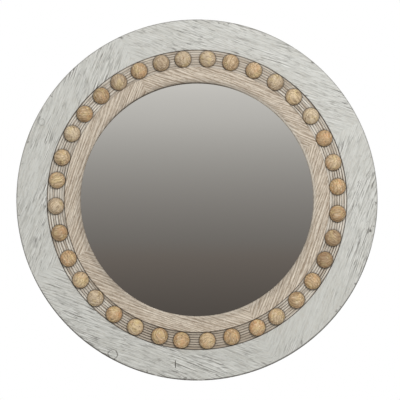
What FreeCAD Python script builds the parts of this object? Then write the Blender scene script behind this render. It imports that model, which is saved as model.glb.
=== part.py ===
"""Round wall mirror: a turned wooden ring with a channel of half-round beads.

The ring is glued up from four boards, painted outside the channel and left bare inside it.
The mirror front faces -Y and hangs flat on a wall whose surface is the plane y = 0.
All lengths are millimetres and all angles degrees, measured from +X towards +Z.
"""

import FreeCAD
import Part
import Sketcher
import math
import os
from FreeCAD import Placement, Rotation, Vector

doc = FreeCAD.newDocument("RoundMirror")

# Driving dimensions: name, value and what it measures
sizes = [
    ("sight_radius", 246.8, "visible edge of the mirror"),
    ("bevel_width", 4, "inner bevel, measured across the face"),
    ("bevel_depth", 4, "inner bevel, measured into the face"),
    ("inner_land", 29.2, "bare land between the bevel and the channel"),
    ("outer_land", 65, "painted land between the channel and the rim"),
    ("board_thickness", 25, "depth of the boards, front to back"),
    ("board_count", 4, "boards round the ring"),
    ("seam_angle", 25.3, "first glued seam, from +X"),
    ("rim_round", 2.5, "rounding of the outer rim"),
    ("channel_depth", 3, "channel floor below the front face"),
    ("reed_count", 6, "turned lines in the channel floor"),
    ("reed_width", 1.8, "width of one turned line"),
    ("reed_depth", 0.9, "depth of one turned line"),
    ("bead_count", 36, "beads in the channel"),
    ("bead_first_angle", 5.2, "first bead, from +X"),
    ("bead_diameter", 35, "split ball"),
    ("bead_side_gap", 0.5, "bead to each channel wall"),
    ("glass_thickness", 4, "silvered glass"),
    ("glass_overlap", 10, "glass behind the sight edge"),
    ("glass_edge_gap", 1.4, "glass to the wall of its rebate"),
    ("glass_arris", 0.8, "ground edge of the glass"),
    ("liner_thickness", 3, "corrugated sheet behind the glass"),
    ("backing_thickness", 6, "fibreboard back"),
    ("backing_edge_gap", 0.8, "back to the wall of its rebate"),
    ("ledge_width", 20, "ledge that the back is screwed to"),
    ("dowel_diameter", 8, "seam dowels"),
    ("dowel_length", 40, "seam dowels"),
    ("dowel_end_gap", 1, "glue space at each end of a dowel"),
    ("fit_gap", 0.05, "dowel or screw to the wall of its hole"),
    ("back_screw_count", 8, "screws round the back"),
    ("back_screw_head", 7, "countersunk head diameter"),
    ("back_screw_shank", 3.5, "shank diameter"),
    ("back_screw_length", 16, "overall length"),
    ("screw_point", 3, "length of a screw's point"),
    ("pilot_spare", 1, "pilot hole beyond the screw's point"),
    ("hanger_angle", 40.7, "middle of each hanger strap, up from the level"),
    ("strap_width", 16, "hanger strap"),
    ("strap_thickness", 1.2, "hanger strap"),
    ("strap_corner", 5, "rounded lower corners of the strap"),
    ("eye_slit", 0.4, "open slit where the rolled eye ends"),
    ("ring_wire", 2.5, "wire diameter of the hanging ring"),
    ("ring_corner", 3, "bend beside the ring's straight bar"),
    ("ring_leg", 3, "straight leg of the ring"),
    ("ring_side_gap", 0.5, "bar left free on each side of the strap"),
    ("eye_gap", 0.2, "running gap of the bar in its eye"),
    ("hanger_screw_head", 8, "pan head diameter"),
    ("hanger_screw_rise", 2.2, "pan head height"),
    ("hanger_screw_shank", 4, "shank diameter"),
    ("hanger_screw_length", 16, "length under the head"),
    ("hanger_screw_pitch", 16, "between the two screws of a strap"),
    ("ring_screw_gap", 2, "hanging ring to the upper screw head"),
    ("bumper_diameter", 22, "rubber wall bumper"),
    ("bumper_chamfer", 1.5, "edge of the bumper"),
    ("bumper_proud", 0.7, "bumper face beyond the hangers"),
    ("bumper_angle", 53.5, "each bumper, down from the level"),
    ("overrun", 5, "cuts run this far past the surface"),
]

# The beads were set out by hand: each one's shift from even spacing, as a share of the pitch
bead_shift_shares = [
    0, 0, 0.05, 0.1, 0.15, 0.1, 0.1, 0.1, 0.05, 0.05, -0.05, -0.1,
    -0.15, -0.25, -0.25, -0.3, -0.25, -0.3, -0.25, -0.15, -0.05, -0.05, -0.1, -0.1,
    -0.1, -0.05, -0.15, -0.1, -0.1, 0, -0.1, -0.05, -0.05, -0.05, -0.1, -0.1,
]

# Places and fits that follow from the driving dimensions
fits = [
    ("eye_inner", "dims.ring_wire / 2 + dims.eye_gap"),
    ("eye_outer", "eye_inner + dims.strap_thickness"),
    ("back_face", "-(2 * eye_outer + dims.bumper_proud)"),
    ("front_face", "back_face - dims.board_thickness"),
    ("channel_floor", "front_face + dims.channel_depth"),
    ("channel_width", "dims.bead_diameter + 2 * dims.bead_side_gap"),
    ("reed_pitch", "channel_width / (dims.reed_count + 1)"),
    ("bevel_radius", "dims.sight_radius + dims.bevel_width"),
    ("channel_inner", "bevel_radius + dims.inner_land"),
    ("channel_middle", "channel_inner + channel_width / 2"),
    ("channel_outer", "channel_inner + channel_width"),
    ("outer_radius", "channel_outer + dims.outer_land"),
    ("glass_radius", "dims.sight_radius + dims.glass_overlap"),
    ("glass_rebate", "glass_radius + dims.glass_edge_gap"),
    ("backing_rebate", "glass_rebate + dims.ledge_width"),
    ("backing_radius", "backing_rebate - dims.backing_edge_gap"),
    ("backing_front", "back_face - dims.backing_thickness"),
    ("liner_front", "backing_front - dims.liner_thickness"),
    ("glass_front", "liner_front - dims.glass_thickness"),
    ("board_angle", "360 / dims.board_count"),
    ("dowel_depth", "(channel_floor + back_face) / 2"),
    ("dowel_outer", "channel_outer + dims.outer_land / 2"),
    ("socket_depth", "dims.dowel_length / 2 + dims.dowel_end_gap"),
    ("back_screw_circle", "(glass_rebate + backing_rebate) / 2"),
    ("back_screw_step", "360 / dims.back_screw_count"),
    ("back_screw_cone", "(dims.back_screw_head - dims.back_screw_shank) / 2"),
    ("eye_depth", "back_face + eye_outer"),
    ("strap_face", "back_face + dims.strap_thickness"),
    ("ring_half", "dims.strap_width / 2 + dims.ring_side_gap + dims.ring_corner"),
    ("ring_drop", "dims.ring_corner + dims.ring_leg + ring_half"),
    ("upper_screw", "ring_drop + dims.ring_wire / 2 + dims.ring_screw_gap + dims.hanger_screw_head / 2"),
    ("lower_screw", "upper_screw + dims.hanger_screw_pitch"),
    ("strap_end", "lower_screw + dims.strap_width / 2"),
    ("back_middle", "(backing_rebate + outer_radius) / 2"),
    ("hanger_across", "back_middle * cos(dims.hanger_angle * 1 deg)"),
    ("hanger_height", "back_middle * sin(dims.hanger_angle * 1 deg) + strap_end / 2"),
    ("bumper_across", "back_middle * cos(dims.bumper_angle * 1 deg)"),
    ("bumper_drop", "back_middle * sin(dims.bumper_angle * 1 deg)"),
]


def make_sheet(name, rows):
    """One spreadsheet: notes in column A, aliased values in column B."""
    sheet = doc.addObject("Spreadsheet::Sheet", name)
    for row, (alias, value, note) in enumerate(rows, start=1):
        sheet.set(f"A{row}", note)
        sheet.set(f"B{row}", value)
        sheet.setAlias(f"B{row}", alias)
    doc.recompute()
    return sheet


dims = make_sheet("dims", [(alias, str(value), note) for alias, value, note in sizes])
fit = make_sheet("fit", [(alias, "=" + formula, "follows") for alias, formula in fits])


def value(expression):
    """The number that an expression on the two sheets gives now."""
    result = dims.evalExpression(expression)
    return float(getattr(result, "Value", result))


def new_body(label):
    body = doc.addObject("PartDesign::Body", label)
    body.Label = label
    return body


def new_sketch(body, name, role, turn=None, offset=None):
    """A sketch on an origin plane, turned about the mirror's axis or moved along its normal."""
    sketch = body.newObject("Sketcher::SketchObject", name)
    plane = [item for item in body.Origin.OriginFeatures if item.Role == role][0]
    sketch.AttachmentSupport = [(plane, "")]
    sketch.MapMode = "FlatFace"
    if turn:
        sketch.AttachmentOffset = Placement(Vector(), Rotation(Vector(0, -1, 0), value(turn)))
        sketch.setExpression("AttachmentOffset.Rotation.Angle", turn)
    if offset:
        sketch.setExpression("AttachmentOffset.Base.z", offset)
    return sketch


def bind(sketch, constraint, expression):
    """Add one sketch dimension driven by an expression."""
    index = sketch.addConstraint(constraint)
    name = f"size_{index}"
    sketch.renameConstraint(index, name)
    sketch.setExpression(f"Constraints.{name}", expression)


def bind_point(sketch, geometry, position, across, up):
    """Place one point of a sketch by its two coordinates."""
    for kind, expression in (("DistanceX", across), ("DistanceY", up)):
        bind(sketch, Sketcher.Constraint(kind, -1, 1, geometry, position, value(expression)), expression)


def add_outline(sketch, points):
    """A closed outline through points given as pairs of expressions."""
    corners = [Vector(value(across), value(up), 0) for across, up in points]
    first = sketch.GeometryCount
    count = len(points)
    for index in range(count):
        sketch.addGeometry(Part.LineSegment(corners[index], corners[(index + 1) % count]))
    for index in range(count):
        following = first + (index + 1) % count
        sketch.addConstraint(Sketcher.Constraint("Coincident", first + index, 2, following, 1))
    for index, (across, up) in enumerate(points):
        bind_point(sketch, first + index, 1, across, up)


def add_circle(sketch, across, up, radius):
    centre = Vector(value(across), value(up), 0)
    index = sketch.addGeometry(Part.Circle(centre, Vector(0, 0, 1), value(radius)))
    bind_point(sketch, index, 3, across, up)
    bind(sketch, Sketcher.Constraint("Radius", index, value(radius)), radius)


def add_axis(sketch, across, low, high):
    """A construction line along the mirror's depth, to turn a profile about."""
    line = Part.LineSegment(Vector(value(across), value(low), 0), Vector(value(across), value(high), 0))
    index = sketch.addGeometry(line, True)
    bind_point(sketch, index, 1, across, low)
    bind_point(sketch, index, 2, across, high)


def pad(body, sketch, length, symmetric=False):
    feature = body.newObject("PartDesign::Pad", sketch.Name + "_pad")
    feature.Profile = sketch
    feature.SideType = "Symmetric" if symmetric else "One side"
    feature.setExpression("Length", length)
    doc.recompute()
    return feature


def revolve(body, sketch, axis, angle="360", backwards=False):
    feature = body.newObject("PartDesign::Revolution", sketch.Name + "_turned")
    feature.Profile = sketch
    feature.ReferenceAxis = (sketch, [axis])
    feature.setExpression("Angle", angle)
    feature.Reversed = backwards
    doc.recompute()
    return feature


def must_cut(body, before):
    if body.Shape.Volume >= before:
        raise RuntimeError(f"a cut in {body.Label} removed nothing")


def pocket(body, sketch, length, backwards=False, symmetric=False):
    before = body.Shape.Volume
    feature = body.newObject("PartDesign::Pocket", sketch.Name + "_cut")
    feature.Profile = sketch
    feature.SideType = "Symmetric" if symmetric else "One side"
    feature.setExpression("Length", length)
    feature.Reversed = backwards
    doc.recompute()
    must_cut(body, before)
    return feature


def groove(body, sketch, axis, angle="360", backwards=False):
    before = body.Shape.Volume
    feature = body.newObject("PartDesign::Groove", sketch.Name + "_cut")
    feature.Profile = sketch
    feature.ReferenceAxis = (sketch, [axis])
    feature.setExpression("Angle", angle)
    feature.Reversed = backwards
    doc.recompute()
    must_cut(body, before)
    return feature


def repeat_round(body, features, count):
    """Repeat features evenly round the mirror's axis."""
    pattern = body.newObject("PartDesign::PolarPattern", body.Name + "_round")
    pattern.Originals = features
    depth_axis = [item for item in body.Origin.OriginFeatures if item.Role == "Y_Axis"][0]
    pattern.Axis = (depth_axis, [""])
    pattern.Angle = 360
    pattern.setExpression("Occurrences", count)
    body.Tip = pattern
    doc.recompute()
    return pattern


def dress(body, kind, size_name, size, chosen):
    """A Fillet or Chamfer on the edges that the test picks."""
    base = body.Tip
    edges = [f"Edge{index}" for index, edge in enumerate(base.Shape.Edges, start=1) if chosen(edge)]
    feature = body.newObject("PartDesign::" + kind, base.Name + "_" + kind.lower())
    feature.Base = (base, edges)
    feature.setExpression(size_name, size)
    doc.recompute()
    return feature


def is_round_edge(edge, radius):
    """True for an edge along a circle of this radius about the mirror's axis."""
    curve = edge.Curve
    on_axis = isinstance(curve, Part.Circle) and math.hypot(curve.Center.x, curve.Center.z) < curve.Radius
    return on_axis and math.isclose(curve.Radius, value(radius))


def polar(radius, angle):
    """Expressions for a point at a radius and an angle on the face of the mirror."""
    return f"{radius} * cos(({angle}) * 1 deg)", f"{radius} * sin(({angle}) * 1 deg)"


# The hanger screws: which side, and how far below the hanger's eye
def hanger_across(side):
    return f"{side} * fit.hanger_across"


hanger_screw_places = [
    (hanger_across(side), f"fit.hanger_height - {drop}")
    for side in (-1, 1)
    for drop in ("fit.upper_screw", "fit.lower_screw")
]


def on_board(index, across, up):
    """True where a point on the back lies on the board with this index."""
    angle = math.degrees(math.atan2(value(up), value(across)))
    share = (angle - value("dims.seam_angle")) % 360 / value("fit.board_angle")
    return int(share) == index


def board_profile():
    """Section of a plain board: two rebates at the back and a bevel at the sight edge."""
    return [
        ("fit.outer_radius", "fit.front_face"),
        ("fit.outer_radius", "fit.back_face"),
        ("fit.backing_rebate", "fit.back_face"),
        ("fit.backing_rebate", "fit.backing_front"),
        ("fit.glass_rebate", "fit.backing_front"),
        ("fit.glass_rebate", "fit.glass_front"),
        ("dims.sight_radius", "fit.glass_front"),
        ("dims.sight_radius", "fit.front_face + dims.bevel_depth"),
        ("fit.bevel_radius", "fit.front_face"),
    ]


def channel_profile():
    """Section of the bead channel, with turned lines spaced evenly over its floor."""
    points = [
        ("fit.channel_inner", "fit.front_face - dims.overrun"),
        ("fit.channel_inner", "fit.channel_floor"),
    ]
    for reed in range(int(value("dims.reed_count"))):
        middle = f"fit.channel_inner + {reed + 1} * fit.reed_pitch"
        points.append((f"{middle} - dims.reed_width / 2", "fit.channel_floor"))
        points.append((middle, "fit.channel_floor + dims.reed_depth"))
        points.append((f"{middle} + dims.reed_width / 2", "fit.channel_floor"))
    points.append(("fit.channel_outer", "fit.channel_floor"))
    points.append(("fit.channel_outer", "fit.front_face - dims.overrun"))
    return points


def make_board(index, label):
    """One board of the ring, turned to its section, with its dowel sockets and pilot holes."""
    body = new_body(label)
    start = f"dims.seam_angle + {index} * fit.board_angle"
    end = f"dims.seam_angle + {index + 1} * fit.board_angle"

    blank = new_sketch(body, label + "_section", "XY_Plane", turn=start)
    add_outline(blank, board_profile())
    revolve(body, blank, "V_Axis", "fit.board_angle", backwards=True)
    dress(body, "Fillet", "Radius", "dims.rim_round", lambda edge: is_round_edge(edge, "fit.outer_radius"))

    channel = new_sketch(body, label + "_channel", "XY_Plane", turn=start)
    add_outline(channel, channel_profile())
    groove(body, channel, "V_Axis", "fit.board_angle", backwards=True)

    for turn, backwards in ((start, True), (end, False)):
        sockets = new_sketch(body, label + "_sockets", "XY_Plane", turn=turn)
        for radius in ("fit.channel_middle", "fit.dowel_outer"):
            add_circle(sockets, radius, "fit.dowel_depth", "dims.dowel_diameter / 2 + dims.fit_gap")
        pocket(body, sockets, "fit.socket_depth", backwards)

    pilots = new_sketch(body, label + "_pilots", "XZ_Plane", offset="-fit.backing_front")
    for screw in range(int(value("dims.back_screw_count"))):
        place = polar("fit.back_screw_circle", f"dims.seam_angle + ({screw} + 1 / 2) * fit.back_screw_step")
        if on_board(index, *place):
            add_circle(pilots, *place, "dims.back_screw_shank / 2 + dims.fit_gap")
    depth = "dims.back_screw_length - dims.backing_thickness + dims.pilot_spare"
    pocket(body, pilots, depth, backwards=True)

    places = [place for place in hanger_screw_places if on_board(index, *place)]
    if places:
        pilots = new_sketch(body, label + "_hanger_pilots", "XZ_Plane", offset="-fit.back_face")
        for place in places:
            add_circle(pilots, *place, "dims.hanger_screw_shank / 2 + dims.fit_gap")
        depth = "dims.hanger_screw_length - dims.strap_thickness + dims.pilot_spare"
        pocket(body, pilots, depth, backwards=True)
    return body


def make_dowels():
    """Two dowels across each seam."""
    body = new_body("joint_dowels")
    sketch = new_sketch(body, "dowel_ends", "XY_Plane", turn="dims.seam_angle")
    for radius in ("fit.channel_middle", "fit.dowel_outer"):
        add_circle(sketch, radius, "fit.dowel_depth", "dims.dowel_diameter / 2")
    dowels = pad(body, sketch, "dims.dowel_length", symmetric=True)
    repeat_round(body, [dowels], "dims.board_count")
    return body


def make_bead(index):
    """One split ball, flat side on the channel floor."""
    bead = doc.addObject("Part::Sphere", f"bead_{index + 1:02d}")
    bead.Label = bead.Name
    bead.setExpression("Radius", "dims.bead_diameter / 2")
    bead.Angle1 = 0
    bead.Angle2 = 90
    share = bead_shift_shares[index % len(bead_shift_shares)]
    angle = f"dims.bead_first_angle + ({index} + {share}) * 360 / dims.bead_count"
    across, up = polar("fit.channel_middle", angle)
    bead.Placement = Placement(Vector(), Rotation(Vector(1, 0, 0), 90))
    bead.setExpression("Placement.Base.x", across)
    bead.setExpression("Placement.Base.y", "fit.channel_floor")
    bead.setExpression("Placement.Base.z", up)
    return bead


def make_disc(label, radius, front, thickness):
    """A flat disc on the mirror's axis, padded from its rear face to its front face."""
    body = new_body(label)
    sketch = new_sketch(body, label + "_round", "XZ_Plane", offset=f"-({front} + {thickness})")
    add_circle(sketch, "0", "0", radius)
    pad(body, sketch, thickness)
    return body


def make_glass():
    body = make_disc("mirror_glass", "fit.glass_radius", "fit.glass_front", "dims.glass_thickness")
    dress(body, "Chamfer", "Size", "dims.glass_arris", lambda edge: is_round_edge(edge, "fit.glass_radius"))
    return body


def back_screw_section(body, name):
    """A sketch in the plane of the first back screw, with its axis drawn."""
    sketch = new_sketch(body, name, "XY_Plane", turn="dims.seam_angle + fit.back_screw_step / 2")
    add_axis(sketch, "fit.back_screw_circle", "fit.backing_front", "fit.back_face")
    return sketch


def make_backing():
    """The fibreboard back, with countersunk screw holes round its edge."""
    body = make_disc("backing_board", "fit.backing_radius", "fit.backing_front", "dims.backing_thickness")
    sketch = back_screw_section(body, "countersink")
    middle = "fit.back_screw_circle"
    hole = f"{middle} + dims.back_screw_shank / 2 + dims.fit_gap"
    mouth = f"{middle} + dims.back_screw_head / 2 + dims.fit_gap"
    add_outline(sketch, [
        (middle, "fit.back_face + dims.overrun"),
        (mouth, "fit.back_face + dims.overrun"),
        (mouth, "fit.back_face"),
        (hole, "fit.back_face - fit.back_screw_cone"),
        (hole, "fit.backing_front - dims.overrun"),
        (middle, "fit.backing_front - dims.overrun"),
    ])
    repeat_round(body, [groove(body, sketch, "Axis0")], "dims.back_screw_count")
    return body


def make_back_screws():
    """Countersunk screws, flush with the back."""
    body = new_body("backing_screws")
    sketch = back_screw_section(body, "back_screw")
    middle = "fit.back_screw_circle"
    shank = f"{middle} + dims.back_screw_shank / 2"
    tip = "fit.back_face - dims.back_screw_length"
    add_outline(sketch, [
        (middle, "fit.back_face"),
        (f"{middle} + dims.back_screw_head / 2", "fit.back_face"),
        (shank, "fit.back_face - fit.back_screw_cone"),
        (shank, f"{tip} + dims.screw_point"),
        (middle, tip),
    ])
    repeat_round(body, [revolve(body, sketch, "Axis0")], "dims.back_screw_count")
    return body


def make_hanger_screws():
    """Pan head screws that hold the two straps."""
    body = new_body("hanger_screws")
    for across, up in hanger_screw_places:
        sketch = new_sketch(body, "hanger_screw", "XY_Plane", offset=up)
        shank = f"{across} + dims.hanger_screw_shank / 2"
        head = f"{across} + dims.hanger_screw_head / 2"
        tip = "fit.strap_face - dims.hanger_screw_length"
        add_axis(sketch, across, "fit.back_face", "fit.strap_face")
        add_outline(sketch, [
            (across, "fit.strap_face + dims.hanger_screw_rise"),
            (shank, "fit.strap_face + dims.hanger_screw_rise"),
            (head, "fit.strap_face + dims.hanger_screw_rise / 2"),
            (head, "fit.strap_face"),
            (shank, "fit.strap_face"),
            (shank, f"{tip} + dims.screw_point"),
            (across, tip),
        ])
        revolve(body, sketch, "Axis0")
    return body


def make_strap(label, side):
    """A steel strap on the back, rolled into an eye round the ring's bar at its upper end."""
    body = new_body(label)
    across = hanger_across(side)

    plate = new_sketch(body, label + "_plate", "YZ_Plane", offset=across)
    add_outline(plate, [
        ("fit.back_face", "fit.hanger_height - fit.strap_end"),
        ("fit.strap_face", "fit.hanger_height - fit.strap_end"),
        ("fit.strap_face", "fit.hanger_height"),
        ("fit.back_face", "fit.hanger_height"),
    ])
    pad(body, plate, "dims.strap_width", symmetric=True)

    eye = new_sketch(body, label + "_eye", "YZ_Plane", offset=across)
    add_circle(eye, "fit.eye_depth", "fit.hanger_height", "fit.eye_outer")
    add_circle(eye, "fit.eye_depth", "fit.hanger_height", "fit.eye_inner")
    pad(body, eye, "dims.strap_width", symmetric=True)

    slit = new_sketch(body, label + "_slit", "YZ_Plane", offset=across)
    add_outline(slit, [
        ("fit.strap_face", "fit.hanger_height - fit.eye_outer - dims.overrun"),
        ("fit.strap_face + dims.eye_slit", "fit.hanger_height - fit.eye_outer - dims.overrun"),
        ("fit.strap_face + dims.eye_slit", "fit.hanger_height"),
        ("fit.strap_face", "fit.hanger_height"),
    ])
    pocket(body, slit, "dims.strap_width + dims.overrun", symmetric=True)

    holes = new_sketch(body, label + "_holes", "XZ_Plane", offset="-fit.strap_face")
    for drop in ("fit.upper_screw", "fit.lower_screw"):
        up = f"fit.hanger_height - {drop}"
        add_circle(holes, across, up, "dims.hanger_screw_shank / 2 + dims.fit_gap")
    pocket(body, holes, "dims.strap_thickness + dims.overrun", backwards=True)

    def is_lower_corner(edge):
        low, high = edge.Vertexes[0].Point, edge.Vertexes[-1].Point
        at_end = math.isclose(low.z, value("fit.hanger_height - fit.strap_end"))
        return at_end and math.isclose(abs(high.y - low.y), value("dims.strap_thickness"))

    dress(body, "Fillet", "Radius", "dims.strap_corner", is_lower_corner)
    return body


def make_ring(label, side):
    """A bent wire ring: a straight bar in the strap's eye, two legs and a round bow below."""
    body = new_body(label)
    across = hanger_across(side)
    middle = value(across)
    bar = value("fit.hanger_height")
    half = value("fit.ring_half")
    corner = value("dims.ring_corner")
    bow = bar - corner - value("dims.ring_leg")

    path = new_sketch(body, label + "_path", "XZ_Plane", offset="-fit.eye_depth")
    normal = Vector(0, 0, 1)
    left, right = middle - half, middle + half
    left_bend = Part.Circle(Vector(left + corner, bar - corner, 0), normal, corner)
    right_bend = Part.Circle(Vector(right - corner, bar - corner, 0), normal, corner)
    path.addGeometry([
        Part.LineSegment(Vector(left + corner, bar, 0), Vector(right - corner, bar, 0)),
        Part.ArcOfCircle(right_bend, 0, math.pi / 2),
        Part.LineSegment(Vector(right, bar - corner, 0), Vector(right, bow, 0)),
        Part.ArcOfCircle(Part.Circle(Vector(middle, bow, 0), normal, half), math.pi, 2 * math.pi),
        Part.LineSegment(Vector(left, bow, 0), Vector(left, bar - corner, 0)),
        Part.ArcOfCircle(left_bend, math.pi / 2, math.pi),
    ])
    joints = [(0, 2, 1, 2), (1, 1, 2, 1), (2, 2, 3, 2), (3, 1, 4, 1), (4, 2, 5, 2), (5, 1, 0, 1)]
    for joint in joints:
        path.addConstraint(Sketcher.Constraint("Tangent", *joint))
    path.addConstraint(Sketcher.Constraint("Horizontal", 0))
    path.addConstraint(Sketcher.Constraint("Vertical", 2))
    path.addConstraint(Sketcher.Constraint("Vertical", 4))
    path.addConstraint(Sketcher.Constraint("Equal", 1, 5))
    bind(path, Sketcher.Constraint("Radius", 1, corner), "dims.ring_corner")
    bind(path, Sketcher.Constraint("DistanceX", -1, 1, 4, 1, left), f"{across} - fit.ring_half")
    bind(path, Sketcher.Constraint("DistanceX", -1, 1, 2, 1, right), f"{across} + fit.ring_half")
    bind(path, Sketcher.Constraint("DistanceY", -1, 1, 0, 1, bar), "fit.hanger_height")
    bind(path, Sketcher.Constraint("DistanceY", 2, 2, 2, 1, bar - corner - bow), "dims.ring_leg")

    start = f"{across} - fit.ring_half + dims.ring_corner"
    wire = new_sketch(body, label + "_wire", "YZ_Plane", offset=start)
    add_circle(wire, "fit.eye_depth", "fit.hanger_height", "dims.ring_wire / 2")
    doc.recompute()

    pipe = body.newObject("PartDesign::AdditivePipe", label + "_bent")
    pipe.Profile = wire
    pipe.Spine = (path, [f"Edge{index + 1}" for index in range(path.GeometryCount)])
    doc.recompute()
    return body


def make_bumper(label, side):
    """A rubber pad that keeps the back clear of the wall."""
    body = new_body(label)
    sketch = new_sketch(body, label + "_round", "XZ_Plane", offset="0")
    add_circle(sketch, f"{side} * fit.bumper_across", "-fit.bumper_drop", "dims.bumper_diameter / 2")
    pad(body, sketch, "-fit.back_face")

    def is_wall_edge(edge):
        return isinstance(edge.Curve, Part.Circle) and edge.Curve.Center.y > value("fit.back_face / 2")

    dress(body, "Chamfer", "Size", "dims.bumper_chamfer", is_wall_edge)
    return body


board_names = ["top", "left", "bottom", "right"]
nodes = []
for index in range(int(value("dims.board_count"))):
    nodes.append(make_board(index, "frame_board_" + board_names[index % len(board_names)]))
nodes.append(make_dowels())
for index in range(int(value("dims.bead_count"))):
    nodes.append(make_bead(index))
nodes.append(make_glass())
nodes.append(make_disc("cardboard_liner", "fit.glass_radius", "fit.liner_front", "dims.liner_thickness"))
nodes.append(make_backing())
nodes.append(make_back_screws())
nodes.append(make_hanger_screws())
for name, side in (("left", -1), ("right", 1)):
    nodes.append(make_strap("hanger_strap_" + name, side))
    nodes.append(make_ring("hanger_ring_" + name, side))
    nodes.append(make_bumper("bumper_" + name, side))

doc.recompute()
failed = [item.Name for item in doc.Objects if "Invalid" in item.State or "Error" in item.State]
failed += [node.Label for node in nodes if node.Shape.isNull() or not node.Shape.isValid()]
if failed:
    raise RuntimeError("failed objects: " + ", ".join(failed))

os.makedirs("parts", exist_ok=True)
for node in nodes:
    node.Shape.exportStep(os.path.join("parts", node.Label + ".step"))
print(f"{len(nodes)} nodes, {sum(len(node.Shape.Solids) for node in nodes)} solids")
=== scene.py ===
"""Looks of the round mirror: painted and limed boards, wooden beads, glass and the back's hardware."""

import math
import random
from types import SimpleNamespace

import bmesh
import bpy
import numpy as np
from mathutils import Euler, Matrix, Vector, noise


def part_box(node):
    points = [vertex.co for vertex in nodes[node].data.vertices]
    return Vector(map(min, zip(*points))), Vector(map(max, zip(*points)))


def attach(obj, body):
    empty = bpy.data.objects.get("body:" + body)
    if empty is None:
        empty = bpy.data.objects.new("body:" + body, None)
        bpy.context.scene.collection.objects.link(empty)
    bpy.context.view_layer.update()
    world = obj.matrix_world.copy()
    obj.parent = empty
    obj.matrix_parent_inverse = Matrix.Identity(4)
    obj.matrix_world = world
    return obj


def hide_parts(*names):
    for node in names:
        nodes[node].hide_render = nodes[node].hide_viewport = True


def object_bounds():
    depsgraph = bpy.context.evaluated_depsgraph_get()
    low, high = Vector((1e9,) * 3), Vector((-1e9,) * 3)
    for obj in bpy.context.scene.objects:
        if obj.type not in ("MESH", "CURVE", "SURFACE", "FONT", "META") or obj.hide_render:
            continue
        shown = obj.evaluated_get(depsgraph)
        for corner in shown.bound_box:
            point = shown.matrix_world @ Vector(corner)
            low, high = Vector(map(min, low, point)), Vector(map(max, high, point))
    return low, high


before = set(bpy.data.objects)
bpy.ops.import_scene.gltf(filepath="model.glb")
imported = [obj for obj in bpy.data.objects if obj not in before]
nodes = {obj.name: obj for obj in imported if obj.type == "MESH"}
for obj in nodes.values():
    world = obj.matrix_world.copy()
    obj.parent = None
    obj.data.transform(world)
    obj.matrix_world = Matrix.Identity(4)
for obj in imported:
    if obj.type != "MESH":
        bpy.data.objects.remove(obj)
cad_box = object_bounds()

# Sizes read from the frame, in metres
MM = 0.001
BOARDS = ["frame_board_top", "frame_board_left", "frame_board_bottom", "frame_board_right"]
BEADS = sorted(name for name in nodes if name.startswith("bead_"))
OUTER = cad_box[1].x
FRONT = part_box(BOARDS[0])[0][1]
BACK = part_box(BOARDS[0])[1][1]
CHANNEL_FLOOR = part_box(BEADS[0])[1][1]
BEAD_RADIUS = (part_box(BEADS[0])[1][0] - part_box(BEADS[0])[0][0]) / 2
GLASS_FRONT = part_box("mirror_glass")[0][1]
GLASS_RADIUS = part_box("mirror_glass")[1][0]
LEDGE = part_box("backing_board")[0][1]
BACKING_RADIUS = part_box("backing_board")[1][2]
SEAM = math.acos(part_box(BOARDS[0])[1][0] / OUTER)
BOARD_ANGLE = math.tau / len(BOARDS)


def middle_of(name):
    low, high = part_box(name)
    return (Vector(low) + Vector(high)) / 2


def bead_seat(name):
    """Where a bead's flat side meets the channel floor, on the bead's axis."""
    middle = middle_of(name)
    return Vector((middle.x, CHANNEL_FLOOR, middle.z))


CHANNEL_MIDDLE = sum(math.hypot(bead_seat(name).x, bead_seat(name).z) for name in BEADS) / len(BEADS)

# Sizes and counts that the frame's boxes don't show
CHANNEL_HALF = BEAD_RADIUS + 0.5 * MM
CHANNEL_IN = CHANNEL_MIDDLE - CHANNEL_HALF
CHANNEL_OUT = CHANNEL_MIDDLE + CHANNEL_HALF
REEDS = 6
REED_PITCH = 2 * CHANNEL_HALF / (REEDS + 1)
REED_WIDTH = 1.8 * MM
REED_DEPTH = 0.9 * MM
BEVEL = 4 * MM
SIGHT = GLASS_RADIUS - 10 * MM
GLASS_REBATE = GLASS_RADIUS + 1.4 * MM
BACKING_REBATE = BACKING_RADIUS + 0.8 * MM
RIM_ROUND = 2.5 * MM
CHANNEL_ROUND = 0.7 * MM
REED_ROUND = 0.2 * MM
# How far the painted shade round each bead reaches
BEAD_SHADE_REACH = 4 * MM
BACK_SCREWS = 8

# How finely the shapes are divided
BOARD_STEPS = 220
BEAD_RINGS, BEAD_SIDES = 16, 40
SCREW_SIDES = 48

# The photograph's framing, in pixels of its 400 by 400 frame
PHOTO_SIDE = 400
PHOTO_CENTRE = (196.97, 199.39)
PHOTO_RADIUS = 180.77
CAMERA_DISTANCE = 3.0
CAMERA_ELEVATION = math.radians(-1.5)
SENSOR = 36.0

# The studio: the floor's radius and level, and each light's place, size and power
GROUND_RADIUS = 4.0
GROUND_LEVEL = -1.0
LIGHTS = {
    "key": ((0.55, -1.7, 0.95), 0.4, 21),
    "fill": ((-1.6, -3.0, 0.4), 2.0, 7),
    "rear": ((-1.2, 2.6, 1.6), 1.2, 40),
}

# The room that the glass reflects: light at the horizon, how fast it grows upward, and its most
ROOM_LEVEL = 0.225
ROOM_GROWTH = 13.1
ROOM_MOST = 0.66


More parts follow.
